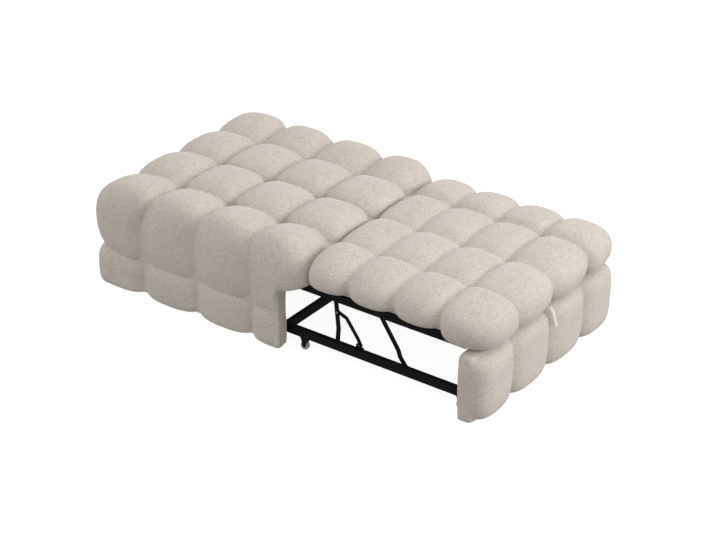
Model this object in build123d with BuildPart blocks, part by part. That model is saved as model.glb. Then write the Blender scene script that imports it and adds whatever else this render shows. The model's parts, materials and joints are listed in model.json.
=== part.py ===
"""A fold out ottoman guest bed, shown opened out as a bed.

A fixed ottoman base carries a large cushion of four by four sewn bubbles. A trundle on
castors has rolled out of it, and a linkage on each side of the trundle holds up a slatted
leaf with a smaller cushion of four by four bubbles. Millimetres. +X runs to the foot end,
+Y to the far side, +Z up, and the origin is the middle of the footprint on the floor.
"""
import os
from math import atan2, degrees, hypot, sqrt

from build123d import *

# Plan sizes of the two cushions
row_count = 4
row_pitch = 250.0
side_tuck = 14.0
seat_column_count = 4
seat_pitch = 251.5
head_margin = 58.0
leaf_column_count = 4
leaf_pitch = 202.8
foot_margin = 27.0

# Cushion forms
seat_thickness = 164.0
seat_crown_rise = 42.0
leaf_thickness = 151.0
leaf_crown_rise = 25.0
cross_seam_rise = 1.5
cross_crown_rise = 0.7
seam_draw = 20.0
joint_draw = 5.0
cushion_corner = 90.0
seat_shoulder = 95.0
head_shoulder = 105.0
joint_shoulder = 26.0
leaf_shoulder = 85.0
leaf_underside = 34.0
shoulder_wall_share = 0.95
cushion_gap = 0.6

# Ottoman base
panel_thickness = 18.0
side_pad = 50.0
base_column_count = 4
base_front_inset = 111.0
foot_height = 20.0
foot_length = 60.0
foot_edge = 50.0
panel_top_z = 300.0
deck_lip = 10.0
tier_pad = 32.0
tier_bulge = 12.0
tier_bottom_z = 15.0
tier_top_z = 180.0
tier_round = 30.0
tier_corner = 28.0
wrap_bottom_z = 186.0
wrap_front_z = 268.0
wrap_round = 22.0
wrap_corner = 26.0
block_size = 42.0
soft_gap = 0.3

# Frame tubes
tube_height = 35.0
tube_width = 20.0
tube_wall = 1.6
lower_rail_z = 52.0
upper_rail_z = 262.0
lower_rail_in_base = 35.0
upper_rail_under_seat = 80.0
upper_rail_front_gap = 22.0
cross_tube_size = 20.0
leaf_cross_inset = 25.0
guide_thickness = 20.0
guide_height = 29.0
guide_end_gap = 12.0
guide_clearance = 1.0

# Front board
board_back_x = 825.0
board_thickness = 18.0
board_side_inset = 40.0
board_bottom_z = 14.0
board_top_z = 268.0
cover_bottom_z = 5.0
cover_top_z = 285.0
cover_valley = 75.0
cover_bulge = 24.0
cover_side_inset = 6.0
cover_corner = 40.0
cover_round = 38.0
bracket_leg = 40.0
bracket_thickness = 3.0

# Linkage
rear_pivot_x = 215.0
rear_top_lead = -8.5
leaf_pivot_spacing = 193.5
front_pivot_x = 536.0
link_width = 18.0
link_thickness = 5.0
link_eye_radius = 12.0
link_gap = 0.3
pin_radius = 4.0
pin_clearance = 0.05
pin_head_radius = 7.0
pin_head_height = 2.0
open_pivot_play = 6.0
brace_width = 14.0
brace_hinge_share = 0.638
brace_foot_x = 320.0
brace_foot_lift = 6.0
catch_length = 24.0
catch_depth = 11.0
catch_height = 26.0
catch_stop_width = 5.0
catch_stop_height = 12.0
rear_link_path_shares = ((0.314, -0.037),)
front_link_path_shares = ((0.071, 0.006), (0.207, 0.018), (0.317, -0.010))
brace_path_shares = ((0.247, 0.125), (0.804, 0.052))

# Slats
slat_count = 8
slat_width = 54.0
slat_thickness = 8.0
slat_overlap = 7.0

# Castors
wheel_radius = 17.0
wheel_width = 14.0
axle_radius = 3.0
axle_clearance = 0.05
fork_wall = 2.0
fork_gap = 0.6
fork_plate = 36.0
rear_castor_inset = 103.0
front_castor_inset = 40.0

# Pull strap
strap_width = 18.0
strap_thickness = 2.6
strap_rest = 40.0
strap_clear = 6.5
strap_drop = 107.0
strap_swing = 20.0
strap_bend = 9.0

overrun = 5.0

# Places that follow from the sizes above
seat_length = seat_column_count * seat_pitch + head_margin
leaf_length = leaf_column_count * leaf_pitch + foot_margin
head_x = -(seat_length + leaf_length) / 2
joint_x = head_x + seat_length
foot_x = joint_x + leaf_length
side_y = row_count * row_pitch / 2 - side_tuck
base_front_x = joint_x - base_front_inset
panel_outer_y = side_y - side_pad
panel_inner_y = panel_outer_y - panel_thickness
tier_valley_y = panel_outer_y + tier_pad
tier_tip_y = tier_valley_y + tier_bulge
base_head_x = head_x + (side_y - tier_tip_y)
head_panel_x = base_head_x + tier_bulge + tier_pad
deck_top_z = panel_top_z + panel_thickness
rail_y = panel_inner_y - guide_thickness - guide_clearance - tube_width / 2
rail_inner_y = rail_y - tube_width / 2
rail_outer_y = rail_y + tube_width / 2
lower_rail_rear_x = base_front_x - lower_rail_in_base
upper_rail_rear_x = joint_x - upper_rail_under_seat
upper_rail_front_x = board_back_x - upper_rail_front_gap
lower_rail_top_z = lower_rail_z + tube_height
upper_rail_top_z = upper_rail_z + tube_height
slat_top_z = upper_rail_top_z + slat_thickness
seat_crown_z = deck_top_z + seat_thickness
seat_seam_z = seat_crown_z - seat_crown_rise
leaf_crown_z = slat_top_z + leaf_thickness
leaf_seam_z = leaf_crown_z - leaf_crown_rise
board_half_width = side_y - board_side_inset
cover_half_width = side_y - cover_side_inset
cover_valley_x = board_back_x + board_thickness + cover_valley
pivot_low_z = lower_rail_z + tube_height / 2
pivot_high_z = upper_rail_z + tube_height / 2
rear_low_pivot = (rear_pivot_x, pivot_low_z)
rear_high_pivot = (rear_pivot_x + rear_top_lead, pivot_high_z)
front_high_pivot = (rear_high_pivot[0] + leaf_pivot_spacing, pivot_high_z)
front_low_pivot = (front_pivot_x, pivot_low_z)
link_outer_y = rail_inner_y - link_gap
link_inner_y = link_outer_y - link_thickness
brace_outer_y = link_inner_y - link_gap
brace_inner_y = brace_outer_y - link_thickness
brace_foot = (brace_foot_x, lower_rail_top_z + brace_foot_lift)


def spaced(start, pitch, count):
    """The count + 1 cut places of a row of equal bubbles."""
    return [start + pitch * index for index in range(count + 1)]


def middles(cuts):
    """The middle of each stretch between neighbouring cuts."""
    return [(low + high) / 2 for low, high in zip(cuts, cuts[1:])]


def along(start, end, share, aside_share):
    """A point at a share of the way from start to end, set aside by a share of the length."""
    run, rise = end[0] - start[0], end[1] - start[1]
    return (
        start[0] + run * share - rise * aside_share,
        start[1] + rise * share + run * aside_share,
    )


def write(part, name):
    """Label a finished piece and write it under its own name."""
    part.label = name
    export_step(part, f"parts/{name}.step")


def write_pair(part, name):
    """Write a near piece and its mirror twin on the far side."""
    with BuildPart() as twin:
        mirror(part, about=Plane.XZ)
    write(part, f"{name}_near")
    write(twin.part, f"{name}_far")


def box_between(low, high):
    """A plain board or block between two corners."""
    with BuildPart() as block:
        with Locations([((low[0] + high[0]) / 2, (low[1] + high[1]) / 2, low[2])]):
            Box(
                high[0] - low[0],
                high[1] - low[1],
                high[2] - low[2],
                align=(Align.CENTER, Align.CENTER, Align.MIN),
            )
    return block.part


def scalloped_plan(x_cuts, y_cuts, low_bulge, high_bulge, side_bulge, corner):
    """A closed outline that swells at every bubble and is drawn in at every seam."""
    x_low, x_high = x_cuts[0], x_cuts[-1]
    y_low, y_high = y_cuts[0], y_cuts[-1]
    x_stops = [x_low + corner, *x_cuts[1:-1], x_high - corner]
    y_stops = [y_low + corner, *y_cuts[1:-1], y_high - corner]
    reach = corner * sqrt(0.5)
    with BuildSketch() as plan:
        with BuildLine():
            for start, end in zip(x_stops, x_stops[1:]):
                middle = (start + end) / 2
                ThreePointArc((start, y_low), (middle, y_low - side_bulge), (end, y_low))
                ThreePointArc((start, y_high), (middle, y_high + side_bulge), (end, y_high))
            for start, end in zip(y_stops, y_stops[1:]):
                middle = (start + end) / 2
                ThreePointArc((x_low, start), (x_low - low_bulge, middle), (x_low, end))
                ThreePointArc((x_high, start), (x_high + high_bulge, middle), (x_high, end))
            for x_edge, x_in in ((x_low, x_stops[0]), (x_high, x_stops[-1])):
                for y_edge, y_in in ((y_low, y_stops[0]), (y_high, y_stops[-1])):
                    x_out = reach if x_edge > x_in else -reach
                    y_out = reach if y_edge > y_in else -reach
                    ThreePointArc((x_edge, y_in), (x_in + x_out, y_in + y_out), (x_in, y_edge))
        make_face()
    return plan.sketch


def crowned_section(stops, floor_z, seam_z, crown_z, shoulders, undersides):
    """The section along a cushion: a crown over each bubble, and rounded outer corners.

    shoulders and undersides hold the corner radii at the low and the high end, zero where
    the corner is square.
    """
    low, high = stops[0], stops[-1]
    with BuildSketch() as section:
        with BuildLine():
            for start, end in zip(stops, stops[1:]):
                ThreePointArc((start, seam_z), ((start + end) / 2, crown_z), (end, seam_z))
            Polyline((low, seam_z), (low, floor_z), (high, floor_z), (high, seam_z))
        make_face()
        for side, shoulder, underside in zip((0, -1), shoulders, undersides):
            wall = seam_z - floor_z - underside
            if shoulder:
                fillet(
                    section.vertices().group_by(Axis.X)[side].sort_by(Axis.Y)[-1],
                    radius=min(shoulder, wall * shoulder_wall_share),
                )
            if underside:
                fillet(section.vertices().group_by(Axis.X)[side].sort_by(Axis.Y)[0], radius=underside)
    return section.sketch


def cushion(x_cuts, heights, draws, shoulders, underside):
    """A cushion of crowned bubbles with sewn channels, rounded shoulders and drawn in sides.

    heights holds the floor, the seams and the crowns.
    draws holds how far the seams pull in at the low X end and at the high X end.
    shoulders holds the radius at the sides, at the low X end and at the high X end.
    """
    side_shoulder, *end_shoulders = shoulders
    floor_z, seam_z, crown_z = heights
    rows = spaced(-row_count * row_pitch / 2, row_pitch, row_count)
    y_cuts = [-side_y, *rows[1:-1], side_y]
    x_low, x_high = x_cuts[0], x_cuts[-1]
    outline_x = [x_low + draws[0], *x_cuts[1:-1], x_high - draws[1]]
    outline_y = [-side_y + seam_draw, *y_cuts[1:-1], side_y - seam_draw]
    cross_heights = (floor_z, seam_z + cross_seam_rise, crown_z + cross_crown_rise)
    cross_section = crowned_section(x_cuts, *cross_heights, end_shoulders, (0, underside))
    plan = scalloped_plan(outline_x, outline_y, *draws, seam_draw, cushion_corner)
    with BuildPart() as whole:
        for low, high in zip(y_cuts, y_cuts[1:]):
            outer = (low == y_cuts[0], high == y_cuts[-1])
            row_shoulders = [side_shoulder if end else 0 for end in outer]
            row_undersides = [underside if end else 0 for end in outer]
            with BuildPart(mode=Mode.PRIVATE) as row:
                with BuildSketch(Plane.YZ.offset(x_low - overrun)):
                    add(crowned_section((low, high), *heights, row_shoulders, row_undersides))
                extrude(amount=x_high - x_low + 2 * overrun)
                with BuildSketch(Plane.XZ.offset(-side_y - overrun)):
                    add(cross_section)
                extrude(amount=2 * (side_y + overrun), mode=Mode.INTERSECT)
                with BuildSketch(Plane.XY.offset(floor_z - overrun)):
                    add(plan)
                extrude(amount=crown_z - floor_z + 2 * overrun, mode=Mode.INTERSECT)
            add(row.part)
    return whole.part


def make_large_cushion():
    """The seat cushion on the deck, with its shoulders rolling down over the head and sides."""
    cuts = spaced(joint_x - seat_column_count * seat_pitch, seat_pitch, seat_column_count)
    cuts[0] = head_x
    heights = (deck_top_z + soft_gap, seat_seam_z, seat_crown_z)
    shoulders = (seat_shoulder, head_shoulder, joint_shoulder)
    write(cushion(cuts, heights, (seam_draw, joint_draw), shoulders, 0), "large_cushion")


def make_small_cushion():
    """The leaf cushion on the slats, running out over the front board."""
    cuts = spaced(joint_x, leaf_pitch, leaf_column_count)
    cuts[0] = joint_x + cushion_gap
    cuts[-1] = foot_x
    heights = (slat_top_z + soft_gap, leaf_seam_z, leaf_crown_z)
    shoulders = (leaf_shoulder, joint_shoulder, leaf_shoulder)
    write(cushion(cuts, heights, (joint_draw, seam_draw), shoulders, leaf_underside), "small_cushion")


def bubbled_strip(cuts, inner, valley, bulge, corner):
    """A flat backed outline along X with one swelling for each bubble on its outer edge."""
    stops = [cuts[0] + corner, *cuts[1:-1], cuts[-1] - corner]
    reach = corner * (1 - sqrt(0.5))
    with BuildSketch() as strip:
        with BuildLine():
            Polyline((cuts[0], valley + corner), (cuts[0], inner), (cuts[-1], inner), (cuts[-1], valley + corner))
            ThreePointArc(
                (cuts[0], valley + corner), (cuts[0] + reach, valley + reach), (stops[0], valley)
            )
            ThreePointArc(
                (cuts[-1], valley + corner), (cuts[-1] - reach, valley + reach), (stops[-1], valley)
            )
            for start, end in zip(stops, stops[1:]):
                ThreePointArc((start, valley), ((start + end) / 2, valley - bulge), (end, valley))
        make_face()
    return strip.sketch


def rounded_band(outer, inner, low_z, high_z, radius):
    """The section of a padded band: square at its inner side, rounded at its outer corners."""
    with BuildSketch() as section:
        with BuildLine():
            path = FilletPolyline(
                (inner, low_z), (outer, low_z), (outer, high_z), (inner, high_z), radius=radius
            )
            Line(path @ 1, path @ 0)
        make_face()
    return section.sketch


def make_lower_tier():
    """The padded band round the foot of the base, with four bubbles on each side."""
    column_pitch = (base_front_x - base_head_x - tier_bulge) / base_column_count
    cuts = spaced(base_head_x + tier_bulge, column_pitch, base_column_count)
    height = tier_top_z - tier_bottom_z
    with BuildPart() as side_tier:
        with BuildSketch(Plane.XY.offset(tier_bottom_z)):
            add(bubbled_strip(cuts, -panel_outer_y, -tier_valley_y, tier_bulge, tier_corner))
        extrude(amount=height)
        with BuildSketch(Plane.YZ.offset(cuts[0] - overrun)):
            add(rounded_band(-tier_tip_y, -panel_outer_y, tier_bottom_z, tier_top_z, tier_round))
        extrude(amount=cuts[-1] - cuts[0] + 2 * overrun, mode=Mode.INTERSECT)
    write_pair(side_tier.part, "lower_tier")
    rows = spaced(-panel_outer_y, 2 * panel_outer_y / row_count, row_count)
    valley_x = base_head_x + tier_bulge
    with BuildPart() as head_tier:
        with BuildSketch(Plane.XY.offset(tier_bottom_z)):
            with BuildLine():
                Polyline((valley_x, rows[0]), (head_panel_x, rows[0]), (head_panel_x, rows[-1]), (valley_x, rows[-1]))
                for start, end in zip(rows, rows[1:]):
                    middle = (start + end) / 2
                    ThreePointArc((valley_x, start), (base_head_x, middle), (valley_x, end))
            make_face()
        extrude(amount=height)
        with BuildSketch(Plane.XZ.offset(-panel_outer_y - overrun)):
            add(rounded_band(base_head_x, head_panel_x, tier_bottom_z, tier_top_z, tier_round))
        extrude(amount=2 * (panel_outer_y + overrun), mode=Mode.INTERSECT)
    write(head_tier.part, "lower_tier_head")


def make_side_wraps():
    """The padding under the seat's shoulders, from the deck down to the lower tier."""
    cuts = spaced(joint_x - seat_column_count * seat_pitch, seat_pitch, seat_column_count)
    cuts[0] = head_x + seam_draw
    valley = -side_y + seam_draw
    inner = -panel_outer_y - soft_gap
    with BuildPart() as side_wrap:
        with BuildSketch(Plane.XY.offset(wrap_bottom_z)):
            add(bubbled_strip(cuts, inner, valley, seam_draw, wrap_corner))
        extrude(amount=deck_top_z - wrap_bottom_z)
        with BuildSketch(Plane.YZ.offset(cuts[0] - overrun)) as view:
            with Locations([((inner - side_y) / 2, (wrap_bottom_z + deck_top_z) / 2)]):
                Rectangle(inner + side_y, deck_top_z - wrap_bottom_z)
            fillet(view.vertices().group_by(Axis.X)[0].sort_by(Axis.Y)[0], radius=wrap_round)
        extrude(amount=base_front_x - cuts[0] + overrun, mode=Mode.INTERSECT)
    write_pair(side_wrap.part, "side_wrap")
    with BuildPart() as overhang_wrap:
        with BuildSketch(Plane.XY.offset(wrap_front_z)):
            add(bubbled_strip(cuts, inner, valley, seam_draw, wrap_corner))
            with Locations([(base_front_x, 0)]):
                Rectangle(
                    base_front_inset, 2 * side_y, align=(Align.MIN, Align.CENTER), mode=Mode.INTERSECT
                )
        extrude(amount=deck_top_z - wrap_front_z)
    write_pair(overhang_wrap.part, "overhang_wrap")
    rows = spaced(-row_count * row_pitch / 2, row_pitch, row_count)
    rows[0], rows[-1] = inner + soft_gap, -inner - soft_gap
    wrap_inner_x = head_panel_x - soft_gap
    valley_x = head_x + seam_draw
    with BuildPart() as head_wrap:
        with BuildSketch(Plane.XY.offset(wrap_bottom_z)):
            with BuildLine():
                Polyline((valley_x, rows[0]), (wrap_inner_x, rows[0]), (wrap_inner_x, rows[-1]), (valley_x, rows[-1]))
                for start, end in zip(rows, rows[1:]):
                    middle = (start + end) / 2
                    ThreePointArc((valley_x, start), (head_x, middle), (valley_x, end))
            make_face()
        extrude(amount=deck_top_z - wrap_bottom_z)
    write(head_wrap.part, "side_wrap_head")


def make_base():
    """Plywood carcass: two sides, a head panel, corner blocks, the deck, feet and guides."""
    side_panel = box_between(
        (head_panel_x, -panel_outer_y, foot_height), (base_front_x, -panel_inner_y, panel_top_z)
    )
    write_pair(side_panel, "side_panel")
    head_inner_x = head_panel_x + panel_thickness
    write(
        box_between((head_panel_x, -panel_inner_y, foot_height), (head_inner_x, panel_inner_y, panel_top_z)),
        "head_panel",
    )
    write_pair(
        box_between(
            (head_inner_x, -panel_inner_y, foot_height),
            (head_inner_x + block_size, -panel_inner_y + block_size, panel_top_z),
        ),
        "corner_block",
    )
    deck_front_x = joint_x - deck_lip
    deck = box_between(
        (head_panel_x, -panel_outer_y, panel_top_z), (deck_front_x, panel_outer_y, deck_top_z)
    )
    write(deck, "deck")
    pad_centre_y = panel_inner_y + panel_thickness / 2
    pad_span = base_front_x - head_panel_x - 2 * foot_edge
    with BuildPart() as foot_pads:
        with BuildSketch():
            with Locations([((base_front_x + head_panel_x) / 2, 0)]):
                with GridLocations(pad_span, 2 * pad_centre_y, 2, 2):
                    Rectangle(foot_length, panel_thickness)
        extrude(amount=foot_height)
    write(foot_pads.part, "foot_pads")
    guide_z = pivot_low_z - guide_height / 2
    write_pair(
        box_between(
            (head_inner_x + block_size, -panel_inner_y, guide_z),
            (base_front_x - guide_end_gap, -panel_inner_y + guide_thickness, guide_z + guide_height),
        ),
        "guide_strip",
    )


def rail_tube(start_x, end_x, low_z):
    """A hollow side rail along X on the near side."""
    with BuildPart() as rail:
        with BuildSketch(Plane.YZ.offset(start_x)):
            with Locations([(-rail_y, low_z + tube_height / 2)]):
                Rectangle(tube_width, tube_height)
                Rectangle(tube_width - 2 * tube_wall, tube_height - 2 * tube_wall, mode=Mode.SUBTRACT)
        extrude(amount=end_x - start_x)
    return rail.part


def bored(part, centres):
    """Bore the pin holes through the inner wall of a near rail."""
    with BuildPart() as drilled:
        add(part)
        with BuildSketch(Plane.XZ.offset(rail_inner_y - overrun)):
            with Locations(centres):
                Circle(pin_radius)
        extrude(amount=overrun + 2 * tube_wall, mode=Mode.SUBTRACT)
    return drilled.part


def cross_tube(centre_x, low_z, height):
    """A hollow tube across the bed, from one rail's inner face to the other's."""
    with BuildPart() as tube:
        with BuildSketch(Plane.XZ.offset(-rail_inner_y)):
            with Locations([(centre_x, low_z + height / 2)]):
                Rectangle(cross_tube_size, height)
                Rectangle(cross_tube_size - 2 * tube_wall, height - 2 * tube_wall, mode=Mode.SUBTRACT)
        extrude(amount=2 * rail_inner_y)
    return tube.part


def make_trundle_frame():
    """Lower rails, cross tubes and the brackets of the front board."""
    lower_rail = bored(
        rail_tube(lower_rail_rear_x, board_back_x, lower_rail_z), [rear_low_pivot, front_low_pivot]
    )
    write_pair(lower_rail, "lower_rail")
    half = cross_tube_size / 2
    write(cross_tube(lower_rail_rear_x + half, lower_rail_z, tube_height), "trundle_rear_tube")
    write(cross_tube(board_back_x - half, lower_rail_z, tube_height), "trundle_front_tube")
    with BuildPart() as bracket:
        with BuildSketch(Plane.XZ.offset(rail_inner_y)):
            with BuildLine():
                Polyline(
                    (board_back_x, lower_rail_top_z),
                    (board_back_x - bracket_leg, lower_rail_top_z),
                    (board_back_x - bracket_leg, lower_rail_top_z + bracket_thickness),
                    (board_back_x - bracket_thickness, lower_rail_top_z + bracket_thickness),
                    (board_back_x - bracket_thickness, lower_rail_top_z + bracket_leg),
                    (board_back_x, lower_rail_top_z + bracket_leg),
                    close=True,
                )
            make_face()
        extrude(amount=tube_width)
    write_pair(bracket.part, "board_bracket")


def make_front_board():
    """The plywood board at the foot of the trundle and its padded cover of four bubbles."""
    board = box_between(
        (board_back_x, -board_half_width, board_bottom_z),
        (board_back_x + board_thickness, board_half_width, board_top_z),
    )
    write(board, "front_board")
    rows = spaced(-row_count * row_pitch / 2, row_pitch, row_count)
    rows[0], rows[-1] = -cover_half_width, cover_half_width
    stops = [rows[0] + cover_corner, *rows[1:-1], rows[-1] - cover_corner]
    reach = cover_corner * sqrt(0.5)
    shoulder_x = cover_valley_x - cover_corner
    tip_x = cover_valley_x + cover_bulge
    height = cover_top_z - cover_bottom_z
    with BuildPart() as front_cover:
        with BuildSketch(Plane.XY.offset(cover_bottom_z)):
            with BuildLine():
                Polyline(
                    (shoulder_x, rows[0]), (board_back_x, rows[0]), (board_back_x, rows[-1]), (shoulder_x, rows[-1])
                )
                for start, end in zip(stops, stops[1:]):
                    middle = (start + end) / 2
                    ThreePointArc((cover_valley_x, start), (tip_x, middle), (cover_valley_x, end))
                for edge, stop, turn in ((rows[0], stops[0], -reach), (rows[-1], stops[-1], reach)):
                    ThreePointArc(
                        (shoulder_x, edge), (shoulder_x + reach, stop + turn), (cover_valley_x, stop)
                    )
            make_face()
        extrude(amount=height)
        with BuildSketch(Plane.XZ.offset(-cover_half_width - overrun)):
            add(rounded_band(tip_x, board_back_x, cover_bottom_z, cover_top_z, cover_round))
        extrude(amount=2 * (cover_half_width + overrun), mode=Mode.INTERSECT)
        with BuildSketch(Plane.YZ.offset(board_back_x - overrun)) as front_view:
            with Locations([(0, cover_bottom_z + height / 2)]):
                Rectangle(2 * cover_half_width, height)
            fillet(front_view.vertices(), radius=cover_round)
        extrude(amount=tip_x - board_back_x + 2 * overrun, mode=Mode.INTERSECT)
        add(board, mode=Mode.SUBTRACT)
    write(front_cover.part, "front_cover")


def make_pull_strap():
    """A short webbing strap over the top of the board, hanging in the middle valley."""
    top_z = cover_top_z + strap_thickness / 2 + soft_gap
    face_x = cover_valley_x + strap_clear
    with BuildPart() as pull_strap:
        with BuildSketch(Plane.XZ.offset(-strap_width / 2)):
            with BuildLine() as route:
                FilletPolyline(
                    (cover_valley_x - strap_rest, top_z),
                    (face_x, top_z),
                    (face_x + strap_clear / 2, top_z - strap_rest),
                    (face_x + strap_swing, top_z - strap_drop),
                    radius=strap_bend,
                )
            trace(route.line, line_width=strap_thickness)
        extrude(amount=strap_width)
    write(pull_strap.part, "pull_strap")


def bar(points, width, eyes, bores, outer_y, inner_y):
    """A flat bar through points in the XZ plane, with round eyes and bores, on the near side."""
    with BuildPart() as flat_bar:
        with BuildSketch(Plane.XZ.offset(inner_y)):
            for start, end in zip(points, points[1:]):
                run, rise = end[0] - start[0], end[1] - start[1]
                with Locations([((start[0] + end[0]) / 2, (start[1] + end[1]) / 2)]):
                    SlotCenterToCenter(hypot(run, rise), width, rotation=degrees(atan2(rise, run)))
            for centre, radius in eyes:
                with Locations([centre]):
                    Circle(radius)
            for centre, radius in bores:
                with Locations([centre]):
                    Circle(radius, mode=Mode.SUBTRACT)
        extrude(amount=outer_y - inner_y)
    return flat_bar.part


def path_of(start, end, shares):
    """The points of a joggled bar, from its pivots and the shares of its bends."""
    return [start, *[along(start, end, share, aside) for share, aside in shares], end]


def brace_hinge():
    """Where the brace is pinned to the rear link."""
    kink_share, kink_aside = rear_link_path_shares[-1]
    fade = (1 - brace_hinge_share) / (1 - kink_share)
    return along(rear_low_pivot, rear_high_pivot, brace_hinge_share, kink_aside * fade)


def make_linkage():
    """Rear links, front links and braces, with the catches that the braces stand in."""
    running = pin_radius + pin_clearance
    hinge = brace_hinge()
    rear_path = path_of(rear_low_pivot, rear_high_pivot, rear_link_path_shares)
    rear_link = bar(
        rear_path,
        link_width,
        [(rear_low_pivot, link_eye_radius), (rear_high_pivot, link_eye_radius)],
        [(rear_low_pivot, running), (rear_high_pivot, running), (hinge, pin_radius)],
        link_outer_y,
        link_inner_y,
    )
    write_pair(rear_link, "rear_link")
    loose = pin_radius + open_pivot_play
    front_path = path_of(front_low_pivot, front_high_pivot, front_link_path_shares)
    front_link = bar(
        front_path,
        link_width,
        [(front_low_pivot, loose + link_thickness), (front_high_pivot, link_eye_radius)],
        [(front_low_pivot, loose), (front_high_pivot, running)],
        link_outer_y,
        link_inner_y,
    )
    write_pair(front_link, "front_link")
    brace = bar(
        path_of(hinge, brace_foot, brace_path_shares),
        brace_width,
        [(hinge, link_width / 2)],
        [(hinge, running)],
        brace_outer_y,
        brace_inner_y,
    )
    write_pair(brace, "brace")
    shelf_z = brace_foot[1] - brace_width / 2 - soft_gap
    catch_x = brace_foot[0] - catch_length / 2
    with BuildPart() as brace_catch:
        with BuildSketch(Plane.XZ.offset(rail_inner_y - catch_depth)):
            with Locations([(catch_x, shelf_z)]):
                Rectangle(catch_length, catch_height, align=(Align.MIN, Align.MAX))
                Rectangle(catch_stop_width, catch_stop_height, align=(Align.MAX, Align.MIN))
            with Locations([(catch_x, shelf_z)]):
                Rectangle(catch_stop_width, catch_height, align=(Align.MAX, Align.MAX))
        extrude(amount=catch_depth)
    write_pair(brace_catch.part, "brace_catch")


def pin(centres, wall_y, head_y):
    """Pins from inside a rail's wall to a head beyond the bar, on both sides of the bed."""
    with BuildPart() as pins:
        with BuildSketch(Plane.XZ.offset(head_y)):
            with Locations(centres):
                Circle(pin_radius)
        extrude(amount=wall_y - head_y)
        with BuildSketch(Plane.XZ.offset(head_y)):
            with Locations(centres):
                Circle(pin_head_radius)
        extrude(amount=-pin_head_height)
        mirror(about=Plane.XZ)
    return pins.part


def make_pins():
    """Pivot pins of the trundle, the leaf and the braces."""
    wall_y = rail_inner_y + tube_wall
    head_y = link_inner_y - link_gap / 2
    write(pin([rear_low_pivot, front_low_pivot], wall_y, head_y), "trundle_pivot_pins")
    write(pin([rear_high_pivot, front_high_pivot], wall_y, head_y), "leaf_pivot_pins")
    write(pin([brace_hinge()], link_outer_y, brace_inner_y - link_gap / 2), "brace_pins")


def make_leaf_frame():
    """Upper rails, cross tubes and slats under the small cushion."""
    upper_rail = bored(
        rail_tube(upper_rail_rear_x, upper_rail_front_x, upper_rail_z), [rear_high_pivot, front_high_pivot]
    )
    write_pair(upper_rail, "upper_rail")
    first_x = upper_rail_rear_x + leaf_cross_inset
    last_x = upper_rail_front_x - leaf_cross_inset
    low_z = pivot_high_z - cross_tube_size / 2
    write(cross_tube(first_x, low_z, cross_tube_size), "leaf_rear_tube")
    write(cross_tube((front_high_pivot[0] + last_x) / 2, low_z, cross_tube_size), "leaf_middle_tube")
    write(cross_tube(last_x, low_z, cross_tube_size), "leaf_front_tube")
    slat_start = joint_x + cushion_gap + slat_width / 2 + overrun
    slat_end = upper_rail_front_x - slat_width / 2 - overrun
    spacing = (slat_end - slat_start) / (slat_count - 1)
    with BuildPart() as slats:
        with BuildSketch(Plane.XY.offset(upper_rail_top_z)):
            with Locations([((slat_start + slat_end) / 2, 0)]):
                with GridLocations(spacing, 0, slat_count, 1):
                    Rectangle(slat_width, 2 * (rail_inner_y + slat_overlap))
        extrude(amount=slat_thickness)
    write(slats.part, "slats")


def make_castor(name, centre_x):
    """A castor under each rail: a pressed fork with its riveted axle, and a wheel."""
    inner_half = wheel_width / 2 + fork_gap
    outer_half = inner_half + fork_wall
    plate_z = lower_rail_z - fork_wall
    axle_low = (centre_x, wheel_radius)
    with BuildPart() as fork:
        with BuildSketch(Plane.XY.offset(plate_z)):
            with Locations([(centre_x, -rail_y)]):
                Rectangle(fork_plate, 2 * outer_half)
        extrude(amount=fork_wall)
        for start_y in (rail_y - outer_half, rail_y + inner_half):
            with BuildSketch(Plane.XZ.offset(start_y)):
                with BuildLine():
                    Polyline(
                        (centre_x - fork_plate / 2 + fork_wall, plate_z),
                        (centre_x + fork_plate / 2 - fork_wall, plate_z),
                        (centre_x + 2 * axle_radius, wheel_radius - axle_radius),
                        (centre_x + axle_radius, wheel_radius - 2 * axle_radius),
                        (centre_x - axle_radius, wheel_radius - 2 * axle_radius),
                        (centre_x - 2 * axle_radius, wheel_radius - axle_radius),
                        close=True,
                    )
                make_face()
            extrude(amount=fork_wall)
        with BuildSketch(Plane.XZ.offset(rail_y - inner_half)):
            with Locations([axle_low]):
                Circle(axle_radius)
        extrude(amount=2 * inner_half)
    write_pair(fork.part, f"{name}_castor_fork")
    with BuildPart() as wheel:
        with BuildSketch(Plane.XZ.offset(rail_y - wheel_width / 2)):
            with Locations([axle_low]):
                Circle(wheel_radius)
                Circle(axle_radius + axle_clearance, mode=Mode.SUBTRACT)
        extrude(amount=wheel_width)
    write_pair(wheel.part, f"{name}_castor_wheel")


def main():
    """Make every piece of the bed."""
    os.makedirs("parts", exist_ok=True)
    make_base()
    make_lower_tier()
    make_side_wraps()
    make_large_cushion()
    make_trundle_frame()
    make_front_board()
    make_pull_strap()
    make_linkage()
    make_pins()
    make_leaf_frame()
    make_castor("rear", lower_rail_rear_x + rear_castor_inset)
    make_castor("front", board_back_x - front_castor_inset)
    make_small_cushion()


main()
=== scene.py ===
"""A fold out ottoman guest bed, opened out: upholstery, finishes, stage and camera.

The bed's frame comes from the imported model. The quilted covers are built here as stuffed
bubbles, which are fused into one skin and trimmed where they rest on the carcass.
Metres throughout. +X runs to the foot end, +Y to the far side, +Z up.
"""
import json
import math

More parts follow.
